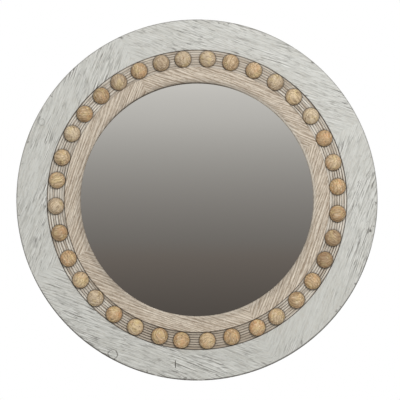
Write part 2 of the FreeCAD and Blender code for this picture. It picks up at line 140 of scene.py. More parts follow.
class Graph:
    """A small helper to write node trees: inputs may be sockets or plain values."""

    def __init__(self, tree):
        self.tree = tree

    def put(self, socket, value):
        if isinstance(value, bpy.types.NodeSocket):
            self.tree.links.new(value, socket)
        elif value is not None:
            socket.default_value = value

    def node(self, kind, inputs=(), **settings):
        made = self.tree.nodes.new(kind)
        for name, value in settings.items():
            setattr(made, name, value)
        for key, value in dict(inputs).items():
            self.put(made.inputs[key], value)
        return made

    def math(self, operation, first, second=None, third=None, clamp=False):
        inputs = {index: value for index, value in enumerate((first, second, third)) if value is not None}
        return self.node("ShaderNodeMath", inputs, operation=operation, use_clamp=clamp).outputs[0]

    def vector(self, operation, first, second=None):
        inputs = {index: value for index, value in enumerate((first, second)) if value is not None}
        made = self.node("ShaderNodeVectorMath", inputs, operation=operation)
        is_number = operation in ("LENGTH", "DOT_PRODUCT", "DISTANCE")
        return made.outputs["Value" if is_number else "Vector"]

    def noise(self, vector, scale, detail=2.0, roughness=0.5, distortion=0.0):
        inputs = {"Vector": vector, "Scale": scale, "Detail": detail, "Roughness": roughness,
                  "Distortion": distortion}
        return self.node("ShaderNodeTexNoise", inputs).outputs["Fac"]

    def stretched(self, vector, scales, detail=2.0, roughness=0.5, distortion=0.0):
        """Noise with its own scale along each axis."""
        return self.noise(self.vector("MULTIPLY", vector, scales), 1.0, detail, roughness, distortion)

    def step(self, value, low, high, start=0.0, end=1.0):
        """Smooth rise from start to end as value goes from low to high."""
        inputs = {"Value": value, "From Min": low, "From Max": high, "To Min": start, "To Max": end}
        return self.node("ShaderNodeMapRange", inputs, interpolation_type="SMOOTHSTEP").outputs[0]

    def product(self, first, *others):
        """All values multiplied."""
        for other in others:
            first = self.math("MULTIPLY", first, other)
        return first

    def off_middle(self, value):
        """How far a noise value is from its middle."""
        return self.math("ABSOLUTE", self.math("SUBTRACT", value, 0.5))

    def ridge(self, value, half_width):
        """Thin lines where a noise value crosses its middle."""
        return self.step(self.off_middle(value), half_width * 0.3, half_width, 1.0, 0.0)

    def mix(self, share, first, second):
        made = self.node("ShaderNodeMix", data_type="RGBA")
        self.put(made.inputs["Factor"], share)
        self.put(made.inputs[6], first)
        self.put(made.inputs[7], second)
        return made.outputs[2]

    def position(self):
        return self.node("ShaderNodeTexCoord").outputs["Object"]

    def attribute(self, name, output="Vector"):
        return self.node("ShaderNodeAttribute", attribute_name=name).outputs[output]

    def bump(self, height, distance, strength):
        inputs = {"Height": height, "Distance": distance, "Strength": strength}
        return self.node("ShaderNodeBump", inputs).outputs["Normal"]


def colour(red, green, blue):
    return (red, green, blue, 1.0)


def new_material(name, **sockets):
    """A material with its Principled shader's constants set on the shader itself."""
    material = bpy.data.materials.new(name)
    material.use_nodes = True
    shader = material.node_tree.nodes["Principled BSDF"]
    for socket, value in sockets.items():
        shader.inputs[socket.replace("_", " ")].default_value = value
    return material, Graph(material.node_tree), shader


def dress(target, material):
    target.data.materials.clear()
    target.data.materials.append(material)


# Materials of the wood

PAINT_LIGHT = colour(0.578, 0.583, 0.561)
PAINT_DARK = colour(0.536, 0.536, 0.509)
PAINT_WHITE = colour(0.74, 0.74, 0.72)
PAINT_STROKE = colour(0.085, 0.078, 0.068)
PAINT_THIN = colour(0.47, 0.43, 0.365)
PAINT_SHADE = colour(0.400, 0.400, 0.375)
# Grime and painted shade on the rim
RIM_GRIME_AND_SHADE = colour(0.055, 0.047, 0.040)
LIMED_LIGHT = colour(0.515, 0.434, 0.346)
LIMED_DARK = colour(0.430, 0.351, 0.272)
LIMED_WHITE = colour(0.82, 0.76, 0.67)
LIMED_LINE = colour(0.175, 0.125, 0.085)
WASH_LIGHT = colour(0.690, 0.650, 0.585)
WASH_DARK = colour(0.390, 0.328, 0.262)
# Dark glaze, also painted as shade along edges, grooves and round the beads
GLAZE_AND_SHADE = colour(0.060, 0.046, 0.035)
RAW_LIGHT = colour(0.50, 0.365, 0.23)
RAW_DARK = colour(0.33, 0.22, 0.125)
RAW_LINE = colour(0.20, 0.12, 0.06)

# Knots on the painted land: angle in degrees, radius and size in metres, and strength
KNOTS = [(153.5, 0.3660, 0.0070, 0.28), (241.5, 0.3700, 0.0095, 0.70)]
# Patches where the paint is worn (above zero) or calm: angle, radius, size and strength
PATCHES = [(357, 0.358, 0.075, 0.35), (226, 0.365, 0.060, 0.4),
           (248, 0.355, 0.050, 0.2), (92, 0.340, 0.055, 0.4), (122, 0.362, 0.040, 0.45),
           (318, 0.345, 0.130, -0.7), (168, 0.365, 0.055, -0.5), (14, 0.350, 0.045, -0.4),
           (288, 0.330, 0.040, -0.4), (62, 0.350, 0.045, -0.3), (150, 0.332, 0.050, -0.4),
           (345, 0.325, 0.035, -0.3), (208, 0.360, 0.050, 0.5), (32, 0.362, 0.050, 0.45),
           (272, 0.368, 0.050, 0.35), (151, 0.371, 0.030, 0.35), (240, 0.334, 0.040, 0.4),
           (270, 0.338, 0.050, -0.25), (68, 0.370, 0.040, -0.25)]
# Scratches and a smudge on the painted land: across, up, half width, half length and strength
MARKS = [(-0.0452, -0.3463, 0.0012, 0.0085, 0.95), (-0.3400, -0.0904, 0.0060, 0.0120, 0.26),
         (0.3656, -0.0661, 0.0022, 0.0030, 0.85), (0.2200, -0.3010, 0.0020, 0.0050, 0.45)]
# Where painted shade darkens the bare land along the sight edge: angle and share, and the share elsewhere
SIGHT_SHADE = [(75, 0.25), (205, 0.26), (300, 0.20)]
SIGHT_SHADE_LEAST = 0.08
# Directions in which the painted highlight and painted shade on the edges grow
BEVEL_HIGHLIGHT_TOWARD = (0.82, 0.0, 0.57)
LIP_SHADE_TOWARD = (-0.26, 0.0, 0.97)
INNER_SHADE_TOWARD = (-0.5, 0.0, -0.87)


def on_ring(degrees, reach):
    """The point of the ring's plane at an angle and a distance from the centre."""
    turn = math.radians(degrees)
    return (reach * math.cos(turn), 0.0, reach * math.sin(turn))


def wood_figure(graph):
    """What a board's zones share: where a point lies, and the figure of the wood along the grain."""
    place = graph.position()
    flat = graph.vector("MULTIPLY", place, (1, 0, 1))
    radius = graph.vector("LENGTH", flat)
    side, depth, up = graph.node("ShaderNodeSeparateXYZ", {0: place}).outputs
    bearing = graph.math("ARCTAN2", up, side)
    arc = graph.math("MULTIPLY", bearing, CHANNEL_MIDDLE)

    grain = graph.attribute("grain")
    aside = graph.vector("ADD", grain, (7.3, 4.1, 2.2))
    across = graph.node("ShaderNodeSeparateXYZ", {0: grain}).outputs["Y"]
    bend = graph.stretched(grain, (4.0, 26.0, 6.0), 2.0, 0.5)
    year = graph.math("MULTIPLY_ADD", across, 130.0, graph.math("MULTIPLY", bend, 4.5))
    streak = graph.stretched(grain, (42.0, 290.0, 70.0), 2.0, 0.55, 0.3)
    return SimpleNamespace(
        place=place, flat=flat, radius=radius, side=side, depth=depth, up=up, bearing=bearing,
        height=graph.math("DIVIDE", up, radius),
        turned=graph.node("ShaderNodeCombineXYZ", {0: arc, 1: radius, 2: depth}).outputs[0],
        grain=grain, aside=aside, streak=streak,
        strokes=graph.step(streak, 0.58, 0.66),
        broad=graph.stretched(grain, (6.0, 70.0, 20.0), 3.0, 0.55, 0.4),
        pale=graph.stretched(aside, (40.0, 310.0, 60.0), 2.0, 0.55, 0.3),
        thread=graph.stretched(aside, (10.0, 330.0, 40.0), 2.0, 0.5, 0.2),
        bristle=graph.off_middle(graph.stretched(aside, (24.0, 200.0, 60.0), 1.0, 0.4, 0.3)),
        fleck=graph.stretched(aside, (130.0, 680.0, 210.0), 2.0, 0.6),
        comb=graph.math("PINGPONG", year, 0.5),
        hatch=graph.math("PINGPONG", graph.math("MULTIPLY", year, 1.45), 0.5),
        gaps=graph.step(graph.stretched(aside, (26.0, 190.0, 30.0), 2.0, 0.6), 0.46, 0.58),
        mottle=graph.noise(place, 26.0, 4.0, 0.6),
    )


def paint_wear(graph, wood):
    """Shares of the painted land: clusters of worn lines, brush marks, and paint filling the seams."""
    seam_share = graph.math("DIVIDE", graph.math("SUBTRACT", wood.bearing, SEAM), BOARD_ANGLE)
    from_seam = graph.math("MULTIPLY", graph.math("PINGPONG", seam_share, 0.5), BOARD_ANGLE * CHANNEL_OUT)
    filled = graph.step(from_seam, 3 * MM, 28 * MM, 0.30, 1.0)
    cluster = graph.step(graph.stretched(wood.grain, (9.0, 20.0, 4.0), 3.0, 0.6), 0.47, 0.64)
    brushed = filled
    for angle, reach, size, strength in PATCHES:
        gap = graph.vector("DISTANCE", wood.flat, on_ring(angle, reach))
        change = graph.step(gap, size * 0.4, size * 1.2, strength, 0.0)
        cluster = graph.math("ADD", cluster, change, clamp=True)
        if strength < 0:
            calm = graph.step(gap, size * 0.4, size * 1.2, 1 + strength, 1.0)
            brushed = graph.product(brushed, calm)
    return graph.product(cluster, filled), brushed, filled


def lined(graph, paint, share, edge, line):
    """Paint with dark lines and the white edge beside each."""
    paint = graph.mix(graph.product(edge, share), paint, PAINT_WHITE)
    return graph.mix(graph.product(line, share), paint, PAINT_STROKE)


def grey_paint(graph, wood):
    """Grey paint, calm in places and worn through in combed lines and short strokes."""
    cluster, brushed, filled = paint_wear(graph, wood)
    paint = graph.mix(graph.product(graph.step(wood.broad, 0.35, 0.68), filled), PAINT_LIGHT, PAINT_DARK)
    paint = graph.mix(graph.step(wood.mottle, 0.56, 0.75, 0.0, 0.18), paint, PAINT_THIN)
    # Painted shade: the paint darker towards the bottom of the ring
    paint = graph.mix(graph.step(wood.height, -0.72, -0.96, 0.0, 0.22), paint, PAINT_SHADE)

    # Brush marks and flecks
    raised = graph.product(graph.step(wood.bristle, 0.06, 0.12, 0.0, 0.14), brushed)
    furrow = graph.product(graph.step(wood.bristle, 0.05, 0.01, 0.0, 0.28), brushed)
    paint = graph.mix(raised, paint, PAINT_WHITE)
    paint = graph.mix(furrow, paint, PAINT_SHADE)
    paint = graph.mix(graph.step(wood.fleck, 0.54, 0.68, 0.0, 0.40), paint, PAINT_THIN)

    # Wide combed lines in gaps of the paint
    share = graph.product(wood.gaps, graph.math("MULTIPLY_ADD", cluster, 0.80, 0.10))
    edge = graph.product(graph.step(wood.comb, 0.18, 0.26), graph.step(wood.comb, 0.40, 0.36))
    paint = lined(graph, paint, share, edge, graph.step(wood.comb, 0.40, 0.48))

    # Closer lines, strong in the clusters and faint all over
    in_cluster = graph.product(graph.step(cluster, 0.25, 1.0, 0.0, 0.80),
                               graph.step(wood.thread, 0.42, 0.52))
    all_over = graph.product(graph.step(wood.pale, 0.46, 0.58, 0.03, 0.20), brushed)
    share = graph.math("MAXIMUM", in_cluster, all_over)
    edge = graph.step(wood.hatch, 0.20, 0.08)
    paint = lined(graph, paint, share, edge, graph.step(wood.hatch, 0.34, 0.47))

    # Loose hairlines
    hair = graph.off_middle(graph.stretched(wood.grain, (15.0, 165.0, 40.0), 1.0, 0.4, 0.3))
    share = graph.product(graph.math("MULTIPLY_ADD", cluster, 0.34, 0.18), brushed,
                          graph.step(wood.thread, 0.40, 0.50))
    edge = graph.product(graph.step(hair, 0.055, 0.085), graph.step(hair, 0.16, 0.11))
    paint = lined(graph, paint, share, edge, graph.step(hair, 0.0, 0.055, 1.0, 0.0))

    # Specks and long worn threads
    speck = graph.stretched(wood.aside, (48.0, 330.0, 90.0), 2.0, 0.5)
    specks = graph.product(graph.step(speck, 0.60, 0.66, 0.0, 0.65), brushed,
                           graph.math("MULTIPLY_ADD", cluster, 0.65, 0.35))
    worn = graph.product(graph.step(wood.thread, 0.56, 0.63),
                         graph.math("MULTIPLY_ADD", cluster, 0.14, 0.05))
    paint = graph.mix(specks, paint, PAINT_STROKE)
    return graph.mix(worn, paint, PAINT_STROKE)


def damaged(graph, wood, paint):
    """The paint with its knots and scratches, nicks near the rim, and grime with painted shade on the rim,
    heavier at the bottom.
    """
    for angle, reach, size, strength in KNOTS:
        gap = graph.vector("DISTANCE", wood.flat, on_ring(angle, reach))
        wobble = graph.math("MULTIPLY_ADD", graph.noise(wood.place, 90.0), 8 * MM, gap)
        off_ring = graph.math("ABSOLUTE", graph.math("SUBTRACT", wobble, size + 4 * MM))
        broken = graph.product(graph.step(off_ring, 0.4 * MM, 1.5 * MM, strength, 0.0),
                               graph.step(graph.noise(wood.place, 60.0), 0.36, 0.48, 0.35, 1.0))
        paint = graph.mix(broken, paint, PAINT_STROKE)
    for mark_side, mark_up, half_wide, half_long, strength in MARKS:
        wobble = graph.math("MULTIPLY_ADD", graph.noise(wood.place, 120.0), 3 * MM, wood.side)
        beside = graph.math("ABSOLUTE", graph.math("SUBTRACT", wobble, mark_side + 1.5 * MM))
        along = graph.math("ABSOLUTE", graph.math("SUBTRACT", wood.up, mark_up))
        mark = graph.product(graph.step(beside, half_wide * 0.4, half_wide * 1.3, strength, 0.0),
                             graph.step(along, half_long * 0.7, half_long * 1.2, 1.0, 0.0))
        paint = graph.mix(mark, paint, PAINT_STROKE)
    nicks = graph.product(graph.step(graph.noise(wood.place, 75.0, 2.0), 0.64, 0.70, 0.0, 0.65),
                          graph.step(wood.radius, OUTER - 9 * MM, OUTER - 4 * MM))
    paint = graph.mix(nicks, paint, PAINT_STROKE)
    # Grime and painted shade on the rim's front edge, heavier towards the bottom
    wider_below = graph.math("ADD", wood.radius, graph.step(wood.up, -0.10, -0.34, 0.0, 1 * MM))
    grime_and_shade = graph.product(graph.step(wider_below, OUTER - 3 * MM, OUTER - 1 * MM),
                          graph.step(wood.depth, FRONT + 1.5 * MM, FRONT + 4 * MM, 1.0, 0.25),
                          graph.step(wood.up, 0.15, -0.30, 0.45, 0.80),
                          graph.step(wood.mottle, 0.24, 0.44))
    return graph.mix(grime_and_shade, paint, RIM_GRIME_AND_SHADE)


def limed_wood(graph, wood):
    """Bare limed wood: white pores, darker year lines, and painted shade and a painted highlight along the
    sight edge.
    """
    limed = graph.mix(graph.step(wood.broad, 0.34, 0.66), LIMED_LIGHT, LIMED_DARK)
    years = graph.product(graph.step(wood.comb, 0.34, 0.48, 0.0, 0.36),
                          graph.math("MULTIPLY_ADD", wood.gaps, 0.75, 0.25))
    limed = graph.mix(years, limed, LIMED_LINE)
    limed = graph.mix(graph.step(wood.comb, 0.14, 0.02, 0.0, 0.25), limed, LIMED_WHITE)
    limed = graph.mix(graph.product(wood.strokes, 0.15), limed, LIMED_LINE)
    for figure, low, high, share, shade in [
            (wood.pale, 0.54, 0.63, 0.15, LIMED_WHITE),
            (wood.thread, 0.54, 0.62, 0.28, LIMED_WHITE), (wood.thread, 0.43, 0.36, 0.24, LIMED_LINE),
            (wood.bristle, 0.06, 0.12, 0.16, LIMED_WHITE), (wood.bristle, 0.05, 0.01, 0.20, LIMED_LINE),
            (wood.hatch, 0.20, 0.08, 0.34, LIMED_WHITE), (wood.hatch, 0.32, 0.46, 0.40, LIMED_LINE),
            (wood.fleck, 0.55, 0.68, 0.45, LIMED_LINE), (wood.fleck, 0.45, 0.32, 0.40, LIMED_WHITE)]:
        limed = graph.mix(graph.step(figure, low, high, 0.0, share), limed, shade)

    # Painted shade along the sight edge, a painted highlight on the bevel and a painted shadow on the lip
    # at the top
    most_dirt = SIGHT_SHADE_LEAST
    for angle, share in SIGHT_SHADE:
        reach = graph.vector("DOT_PRODUCT", wood.place, on_ring(angle, 1.0))
        toward = graph.math("DIVIDE", reach, wood.radius)
        most_dirt = graph.math("MAXIMUM", most_dirt, graph.step(toward, 0.60, 0.97, 0.0, share))
    near_sight = graph.step(wood.radius, SIGHT + 13 * MM, SIGHT + 5 * MM)
    limed = graph.mix(graph.product(most_dirt, near_sight), limed, GLAZE_AND_SHADE)
    # Painted highlight on the bevel, most on the right and at the bottom
    rightward = graph.math("DIVIDE", graph.vector("DOT_PRODUCT", wood.place, BEVEL_HIGHLIGHT_TOWARD), wood.radius)
    most_highlight = graph.math("MAXIMUM", graph.step(rightward, 0.55, 0.98, 0.05, 0.58),
                             graph.step(wood.height, -0.60, -0.95, 0.0, 0.16))
    on_bevel = graph.step(wood.radius, SIGHT + 4 * MM, SIGHT + 2.5 * MM)
    limed = graph.mix(graph.product(most_highlight, on_bevel), limed, LIMED_WHITE)
    # Painted shadow on the lip at the top of the sight edge
    upward = graph.math("DIVIDE", graph.vector("DOT_PRODUCT", wood.place, LIP_SHADE_TOWARD), wood.radius)
    lip_shade = graph.product(graph.step(wood.radius, SIGHT + 1.8 * MM, SIGHT + 0.6 * MM),
                        graph.step(upward, 0.70, 0.97, 0.02, 0.70))
    return graph.mix(lip_shade, limed, GLAZE_AND_SHADE)


def washed_floor(graph, wood):
    """The channel's washed floor, with glaze and painted shade in its turned lines and painted shade round
    the beads.
    """
    line_share = graph.math("DIVIDE", graph.math("SUBTRACT", wood.radius, CHANNEL_IN), REED_PITCH)
    from_line = graph.math("MULTIPLY", graph.math("PINGPONG", line_share, 0.5), REED_PITCH)
    lathe = graph.stretched(wood.turned, (16.0, 420.0, 10.0), 3.0, 0.6)
    wash = graph.mix(graph.step(lathe, 0.40, 0.62), WASH_LIGHT, WASH_DARK)
    wash = graph.mix(graph.step(wood.pale, 0.55, 0.70, 0.0, 0.5), wash, LIMED_WHITE)
    wash = graph.mix(graph.step(wood.height, -0.70, -0.97, 0.0, 0.72), wash, WASH_DARK)
    wash = graph.mix(graph.step(wood.height, 0.70, 0.95, 0.0, 0.36), wash, WASH_DARK)
    by_height = graph.math("ADD", graph.step(wood.height, 0.55, 0.90, 1.0, 0.70),
                           graph.step(wood.height, -0.70, -0.97, 0.0, 0.15))
    # Glaze and painted shade in the turned grooves, less at the top of the ring
    lines = graph.product(graph.step(from_line, 0.4 * MM, 1.1 * MM, 1.0, 0.0),
                          graph.step(wood.mottle, 0.34, 0.66, 0.38, 0.95), by_height)
    wash = graph.mix(lines, wash, GLAZE_AND_SHADE)
    # Painted shade round each bead
    dirt = graph.attribute("dirt", "Fac")
    return graph.mix(graph.step(dirt, 0.30, 1.0, 0.0, 0.70), wash, GLAZE_AND_SHADE)


def raw_wood(graph, wood):
    """Bare wood on the back."""
    raw = graph.mix(graph.step(wood.broad, 0.36, 0.66), RAW_LIGHT, RAW_DARK)
    raw = graph.mix(graph.step(wood.streak, 0.55, 0.72, 0.0, 0.35), raw, RAW_DARK)
    raw = graph.mix(graph.step(wood.thread, 0.53, 0.66, 0.0, 0.50), raw, RAW_DARK)
    years = graph.product(graph.step(wood.comb, 0.30, 0.49, 0.0, 0.45),
                          graph.math("MULTIPLY_ADD", wood.gaps, 0.4, 0.6))
    raw = graph.mix(years, raw, RAW_LINE)
    return graph.mix(graph.step(wood.fleck, 0.55, 0.66, 0.0, 0.55), raw, RAW_LINE)


def edge_dirt(graph, wood, skin):
    """Glaze and painted shade along the outer edge of the channel, less on its top, and painted shade along
    the inner edge, less on its upper right.
    """
    # Glaze and painted shade along the outer edge
    off_outer = graph.math("ABSOLUTE", graph.math("SUBTRACT", wood.radius, CHANNEL_OUT + 0.3 * MM))
    outer = graph.product(graph.step(off_outer, 0.4 * MM, 1.0 * MM, 0.82, 0.0),
                          graph.step(wood.height, 0.70, 0.95, 1.0, 0.50))
    skin = graph.mix(outer, skin, GLAZE_AND_SHADE)
    # Painted shade along the inner edge, heaviest to the lower left
    off_inner = graph.math("ABSOLUTE", graph.math("SUBTRACT", wood.radius, CHANNEL_IN - 0.3 * MM))
    toward = graph.vector("DOT_PRODUCT", wood.place, INNER_SHADE_TOWARD)
    inner = graph.product(graph.step(off_inner, 0.4 * MM, 1.1 * MM, 1.0, 0.0),
                          graph.step(toward, -0.20, 0.14, 0.06, 0.80))
    return graph.mix(inner, skin, GLAZE_AND_SHADE)


def board_wood():
    """Straight-grained boards: grey paint outside the channel, washed floor, limed wood inside."""
    material, graph, shader = new_material("board_wood", Roughness=0.72, Specular_IOR_Level=0.25)
    wood = wood_figure(graph)
    paint = damaged(graph, wood, grey_paint(graph, wood))
    ragged = graph.math("MULTIPLY_ADD", wood.mottle, 0.6 * MM, wood.radius)
    on_paint = graph.step(ragged, CHANNEL_OUT + 0.1 * MM, CHANNEL_OUT + 0.7 * MM)
    off_limed = graph.step(ragged, CHANNEL_IN - 0.1 * MM, CHANNEL_IN + 0.6 * MM)
    skin = graph.mix(on_paint, washed_floor(graph, wood), paint)
    skin = graph.mix(off_limed, limed_wood(graph, wood), skin)
    skin = edge_dirt(graph, wood, skin)
    behind = graph.math("MULTIPLY_ADD", wood.mottle, 1.5 * MM, wood.depth)
    on_back = graph.step(behind, BACK - 1.2 * MM, BACK + 0.4 * MM)
    skin = graph.mix(on_back, skin, raw_wood(graph, wood))
    graph.put(shader.inputs["Base Color"], skin)
    graph.put(shader.inputs["Roughness"], graph.step(wood.streak, 0.3, 0.7, 0.62, 0.85))
    relief = graph.math("SUBTRACT", graph.product(wood.pale, 0.5), graph.product(wood.strokes, 0.65))
    graph.put(shader.inputs["Normal"], graph.bump(relief, 0.8 * MM, 0.9))
    return material


BEAD_HONEY = colour(0.550, 0.355, 0.175)
BEAD_PALE = colour(0.600, 0.465, 0.298)
BEAD_BROWN = colour(0.365, 0.235, 0.130)
BEAD_RUST = colour(0.56, 0.31, 0.145)
BEAD_GOLD = colour(0.62, 0.49, 0.23)
BEAD_ASH = colour(0.560, 0.475, 0.360)
BEAD_LIGHT = colour(0.80, 0.665, 0.475)
BEAD_LINE = colour(0.17, 0.100, 0.052)


def bead_wood():
    """Turned beads: year rings about a slanted axis, open pores, a painted highlight on the crown and
    painted shade at the foot.
    """
    material, graph, shader = new_material("bead_wood", Roughness=0.5, Specular_IOR_Level=0.4)
    grain = graph.attribute("grain")
    tone = graph.attribute("tone", "Fac")
    warmth = graph.attribute("warmth", "Fac")
    foot = graph.attribute("foot", "Fac")

    across = graph.vector("LENGTH", graph.vector("MULTIPLY", grain, (1, 1, 0)))
    sway = graph.stretched(grain, (60.0, 60.0, 25.0), 2.0, 0.5)
    rings = graph.math("MULTIPLY_ADD", across, 170.0, graph.math("MULTIPLY", sway, 2.4))
    ring = graph.math("PINGPONG", rings, 0.5)
    pores = graph.stretched(grain, (620.0, 620.0, 60.0), 3.0, 0.6)
    shine = graph.stretched(graph.vector("ADD", grain, (3.1, 1.7, 0.9)), (420.0, 420.0, 50.0), 3.0, 0.6)
    cloud = graph.stretched(grain, (70.0, 70.0, 50.0), 3.0, 0.55)
    stain = graph.stretched(graph.vector("ADD", grain, (1.3, 5.2, 2.6)), (80.0, 80.0, 60.0), 2.0, 0.5)

    wood = graph.mix(tone, BEAD_BROWN, BEAD_PALE)
    wood = graph.mix(graph.step(warmth, 0.3, 1.0, 0.0, 0.65), wood, BEAD_HONEY)
    wood = graph.mix(graph.step(warmth, 0.3, 0.0, 0.0, 0.65), wood, BEAD_ASH)
    wood = graph.mix(graph.product(graph.step(cloud, 0.48, 0.66), warmth), wood, BEAD_RUST)
    wood = graph.mix(graph.step(stain, 0.50, 0.66, 0.0, 0.55), wood, BEAD_GOLD)
    wood = graph.mix(graph.step(stain, 0.44, 0.30, 0.0, 0.55), wood, BEAD_BROWN)
    wood = graph.mix(graph.step(shine, 0.50, 0.68, 0.0, 0.82), wood, BEAD_LIGHT)
    wood = graph.mix(graph.step(ring, 0.22, 0.04, 0.0, 0.16), wood, BEAD_LIGHT)
    faded = graph.product(graph.step(ring, 0.22, 0.5), graph.step(cloud, 0.62, 0.38, 0.02, 0.46))
    wood = graph.mix(faded, wood, BEAD_LINE)
    wood = graph.mix(graph.step(pores, 0.54, 0.68, 0.0, 0.85), wood, BEAD_LINE)
    crack = graph.ridge(graph.stretched(grain, (75.0, 75.0, 16.0), 2.0, 0.5), 0.022)
    open_crack = graph.product(crack, graph.step(shine, 0.40, 0.55, 0.0, 0.75))
    wood = graph.mix(open_crack, wood, BEAD_LINE)
    wood = graph.mix(graph.step(tone, 0.4, 0.0, 0.0, 0.42), wood, BEAD_LINE)
    # Painted highlight on the crown, painted shade on the lower half and a painted shadow at the foot
    wood = graph.mix(graph.step(foot, 0.75, 1.0, 0.0, 0.10), wood, BEAD_LIGHT)
    wood = graph.mix(graph.step(foot, 0.0, 0.65, 0.35, 0.0), wood, BEAD_BROWN)
    wood = graph.mix(graph.step(foot, 0.0, 0.26, 0.90, 0.0), wood, BEAD_LINE)
    graph.put(shader.inputs["Base Color"], wood)
    graph.put(shader.inputs["Roughness"], graph.step(pores, 0.35, 0.7, 0.40, 0.70))
    graph.put(shader.inputs["Normal"], graph.bump(graph.math("SUBTRACT", shine, pores), 0.4 * MM, 0.8))
    return material


def silvered_glass():
    """Silvered glass with faint wipe marks in its polish."""
    material, graph, shader = new_material("silvered_glass", Metallic=1.0, Roughness=0.01)
    shader.inputs["Base Color"].default_value = colour(0.945, 0.93, 0.915)
    wipe = graph.stretched(graph.position(), (4.0, 1.0, 9.0), 4.0, 0.6)
    graph.put(shader.inputs["Roughness"], graph.step(wipe, 0.35, 0.75, 0.004, 0.016))
    return material


def fibreboard():
    """Brown pressed board with flecks of fibre."""
    material, graph, shader = new_material("fibreboard", Roughness=0.85, Specular_IOR_Level=0.2)
    place = graph.position()
    fleck = graph.noise(place, 420.0, 4.0, 0.7)
    fibre = graph.stretched(place, (160.0, 160.0, 420.0), 5.0, 0.75, 1.5)
    cloud = graph.noise(place, 9.0, 5.0, 0.65)
    board = graph.mix(graph.step(cloud, 0.30, 0.75),
                      colour(0.345, 0.222, 0.128), colour(0.300, 0.185, 0.102))
    board = graph.mix(graph.step(fibre, 0.52, 0.70, 0.0, 0.6), board, colour(0.47, 0.335, 0.205))
    board = graph.mix(graph.step(fleck, 0.56, 0.70, 0.0, 0.6), board, colour(0.16, 0.092, 0.048))
    graph.put(shader.inputs["Base Color"], board)
    graph.put(shader.inputs["Normal"], graph.bump(fibre, 0.15 * MM, 0.5))
    return material


def zinc_steel():
    """Zinc-plated steel with soft spangle and rubbed spots."""
    material, graph, shader = new_material("zinc_steel", Metallic=1.0, Roughness=0.35)
    place = graph.position()
    spangle = graph.noise(place, 420.0, 2.0, 0.5)
    rub = graph.noise(place, 1500.0, 3.0, 0.6)
    steel = graph.mix(graph.step(spangle, 0.35, 0.68), colour(0.62, 0.63, 0.62), colour(0.47, 0.48, 0.49))
    graph.put(shader.inputs["Base Color"], steel)
    graph.put(shader.inputs["Roughness"], graph.step(rub, 0.3, 0.7, 0.26, 0.46))
    graph.put(shader.inputs["Normal"], graph.bump(rub, 0.04 * MM, 0.4))
    return material


def black_rubber():
    """Matt black rubber, dusty on its faces."""
    material, graph, shader = new_material("black_rubber", Roughness=0.8, Specular_IOR_Level=0.3)
    dust = graph.noise(graph.position(), 500.0, 4.0, 0.65)
    rubber = graph.mix(graph.step(dust, 0.45, 0.75),
                       colour(0.018, 0.018, 0.018), colour(0.065, 0.063, 0.06))
    graph.put(shader.inputs["Base Color"], rubber)
    graph.put(shader.inputs["Normal"], graph.bump(dust, 0.1 * MM, 0.4))
    return material


def corrugated_card():
    """Brown corrugated card, hidden between the glass and the back."""
    material, graph, shader = new_material("corrugated_card", Roughness=0.9)
    flute = graph.stretched(graph.position(), (900.0, 1.0, 5.0), 2.0)
    graph.put(shader.inputs["Base Color"],
              graph.mix(flute, colour(0.48, 0.34, 0.21), colour(0.36, 0.24, 0.14)))
    return material


def dowel_wood():
    """Pale fluted dowel wood, hidden in the seams."""
    material, graph, shader = new_material("dowel_wood", Roughness=0.7)
    streak = graph.noise(graph.position(), 400.0, 3.0, 0.6)
    graph.put(shader.inputs["Base Color"],
              graph.mix(streak, colour(0.66, 0.50, 0.32), colour(0.50, 0.35, 0.20)))
    return material


# Shapes

def make_piece(name, mesh, material, replaced):
    """Put a mesh on the mirror body in place of CAD nodes."""
    piece = bpy.data.objects.new(name, mesh)
    bpy.context.scene.collection.objects.link(piece)
    dress(piece, material)
    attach(piece, "mirror")
    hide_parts(*replaced)


def smooth_by_angle(mesh, degrees):
    """Shade a mesh smooth, with edges sharper than the angle kept sharp."""
    shape = bmesh.new()
    shape.from_mesh(mesh)
    bmesh.ops.recalc_face_normals(shape, faces=shape.faces)
    limit = math.radians(degrees)
    for face in shape.faces:
        face.smooth = True
    for edge in shape.edges:
        edge.smooth = len(edge.link_faces) == 2 and edge.calc_face_angle(0) < limit
    shape.to_mesh(mesh)
    shape.free()


def set_attribute(mesh, name, values, kind="FLOAT"):
    """A value or a vector at each point, for the materials to read."""
    layer = mesh.attributes.new(name, kind, "POINT")
    field = "vector" if kind == "FLOAT_VECTOR" else "value"
    layer.data.foreach_set(field, np.asarray(values, dtype=np.float32).ravel())


def rounded(corners, fillet_steps=4):
    """Points of a closed section whose corners (radius, depth, fillet) are rounded."""
    points = []
    count = len(corners)
    for index, (across, depth, fillet) in enumerate(corners):
        here = Vector((across, depth))
        if not fillet:
            points.append(here)
            continue
        before = (Vector(corners[index - 1][:2]) - here).normalized()
        after = (Vector(corners[(index + 1) % count][:2]) - here).normalized()
        reach = fillet / math.tan(before.angle(after) / 2)
        start, end = here + before * reach, here + after * reach
        for part in range(fillet_steps + 1):
            share = part / fillet_steps
            first = start.lerp(here, share)
            points.append(first.lerp(here.lerp(end, share), share))
    return points


def refined(points, spacing):
    """The same closed section with long runs divided."""
    result = []
    for index, here in enumerate(points):
        following = points[(index + 1) % len(points)]
        parts = max(1, math.ceil((following - here).length / spacing(here, following)))
        result += [here.lerp(following, part / parts) for part in range(parts)]
    return result


